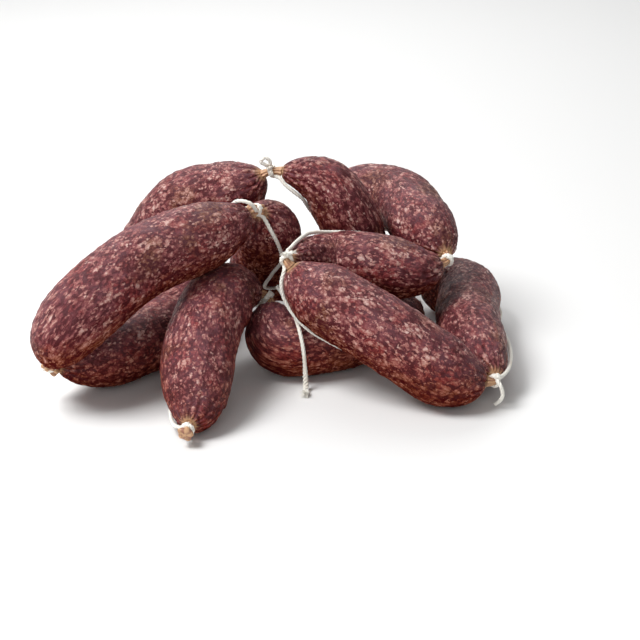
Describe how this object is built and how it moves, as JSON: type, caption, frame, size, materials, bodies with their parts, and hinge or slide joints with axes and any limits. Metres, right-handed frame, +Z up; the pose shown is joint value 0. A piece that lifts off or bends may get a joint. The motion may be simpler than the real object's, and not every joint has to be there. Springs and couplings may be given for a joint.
{
  "type": "string of sausage links",
  "caption": "Pile of dark, fat-flecked dry-cured sausage links still joined in one string, with gathered casing and pale twine at each tie.",
  "frame": {"origin": "on the surface the pile lies on, under the middle of its footprint", "axes": "+Z up; +X towards the right of the pile as shown; +Y away from the side shown"},
  "size_m": [0.2501, 0.2294, 0.1029],
  "materials": {
    "sausage": "dark burgundy-brown cured meat under a thin casing, flecked with pale fat, slightly glossy",
    "casing": "dry tan gathered casing, satin",
    "cotton": "off-white twisted butcher's twine, matte and a little fuzzy"
  },
  "bodies": {
    "root": {"link_01": "sausage", "twine_strand_01": "cotton", "link_02": "sausage", "twine_strand_02": "cotton", "link_03": "sausage", "twine_strand_03": "cotton", "link_04": "sausage", "twine_strand_04": "cotton", "link_05": "sausage", "twine_strand_05": "cotton", "link_06": "sausage", "twine_strand_06": "cotton", "link_07": "sausage", "twine_strand_07": "cotton", "link_08": "sausage", "twine_strand_08": "cotton", "link_09": "sausage", "twine_strand_09": "cotton", "link_10": "sausage", "twine_strand_10": "cotton", "link_11": "sausage", "twine_strand_11": "cotton", "casing_end_00": "casing", "twine_tie_00": "cotton", "casing_neck_01": "casing", "twine_tie_01": "cotton", "casing_neck_02": "casing", "twine_tie_02": "cotton", "casing_neck_03": "casing", "twine_tie_03": "cotton", "casing_neck_04": "casing", "twine_tie_04": "cotton", "casing_neck_05": "casing", "twine_tie_05": "cotton", "casing_neck_06": "casing", "twine_tie_06": "cotton", "casing_neck_07": "casing", "twine_tie_07": "cotton", "casing_neck_08": "casing", "twine_tie_08": "cotton", "casing_neck_09": "casing", "twine_tie_09": "cotton", "casing_neck_10": "casing", "twine_tie_10": "cotton", "casing_end_11": "casing", "twine_tie_11": "cotton", "twine_tail": "cotton", "twine_tail_knot": "cotton"}
  },
  "joints": []
}
